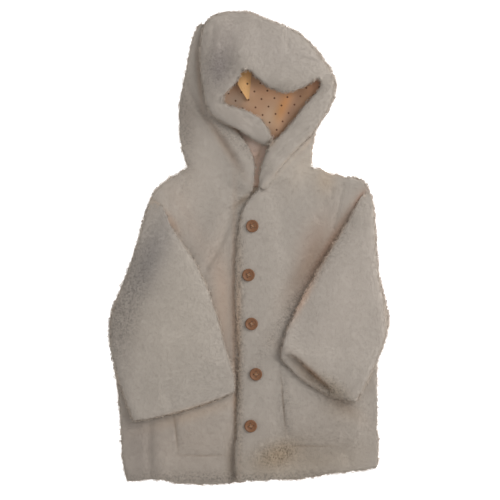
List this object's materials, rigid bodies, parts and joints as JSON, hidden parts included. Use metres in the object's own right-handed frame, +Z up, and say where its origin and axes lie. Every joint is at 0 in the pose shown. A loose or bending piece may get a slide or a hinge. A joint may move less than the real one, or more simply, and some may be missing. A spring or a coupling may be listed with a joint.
{
  "type": "hooded fleece jacket laid flat",
  "caption": "Child's hooded sherpa jacket, laid flat front up, sleeves folded over the fronts, hood fallen over its dotted lining, with patch pockets and buttons.",
  "frame": {"origin": "on the surface that the jacket lies on, under the middle of its outline seen from above", "axes": "+Z up out of the front of the jacket, +Y along the jacket from the hem to the crown of the hood, +X to the right as seen from above"},
  "size_m": [0.3814, 0.6406, 0.0352],
  "materials": {
    "fleece": "curly sherpa pile, matt",
    "lining": "plain-woven ochre cotton with small brown dots",
    "button": "satin tan"
  },
  "bodies": {
    "root": {"back": "fleece", "front_left": "fleece", "front_right": "fleece", "pocket_left": "fleece", "pocket_right": "fleece", "sleeve_cap_left": "fleece", "sleeve_cap_right": "fleece", "sleeve_left": "fleece", "sleeve_right": "fleece", "hood_back": "fleece", "hood_lining": "lining", "hood_facing": "fleece", "hood_side_left": "fleece", "hood_side_right": "fleece", "hood_crown": "fleece", "hood_brim_right": "fleece", "button_1": "button", "button_2": "button", "button_3": "button", "button_4": "button", "button_5": "button"}
  },
  "joints": []
}
